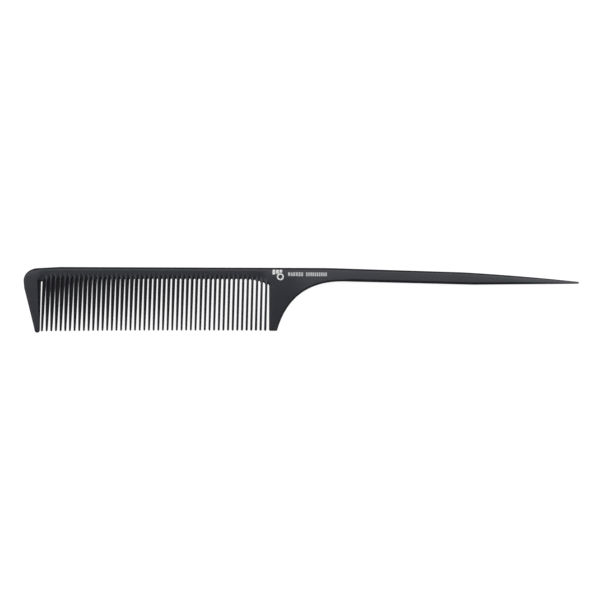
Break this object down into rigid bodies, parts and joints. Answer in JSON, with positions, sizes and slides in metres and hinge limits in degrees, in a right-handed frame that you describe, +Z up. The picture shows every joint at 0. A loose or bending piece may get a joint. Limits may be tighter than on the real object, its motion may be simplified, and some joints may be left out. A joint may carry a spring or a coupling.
{
  "type": "rat tail comb",
  "caption": "Rat tail styling comb: a stiff moulded strip with one row of fine teeth between a slanted guard and a heel, and a long pointed tail for parting hair.",
  "frame": {"origin": "centre of the comb's bounding box at its lowest plane, which is the flat band of the underside that it rests on", "axes": "The comb lies flat. +X points along the comb towards the tip of the tail, +Y across it from the tooth tips to the back edge, +Z up through its thickness, out of the printed face."},
  "size_m": [0.23, 0.0273, 0.0046],
  "materials": {
    "carbon_plastic": "satin charcoal carbon-filled plastic, fine even grain, slightly blue",
    "print_white": "thin off-white stamped print, slightly worn"
  },
  "bodies": {
    "root": {"comb_body": "carbon_plastic", "emblem_ring": "print_white", "emblem_dash_01": "print_white", "emblem_dash_02": "print_white", "emblem_dash_03": "print_white", "caption_dash_01": "print_white", "caption_dash_02": "print_white", "caption_dash_03": "print_white", "caption_dash_04": "print_white", "caption_dash_05": "print_white", "caption_dash_06": "print_white", "caption_dash_07": "print_white", "caption_dash_08": "print_white", "caption_dash_09": "print_white", "caption_dash_10": "print_white", "caption_dash_11": "print_white", "caption_dash_12": "print_white", "caption_dash_13": "print_white", "caption_dash_14": "print_white", "caption_dash_15": "print_white", "caption_dash_16": "print_white"}
  },
  "joints": []
}
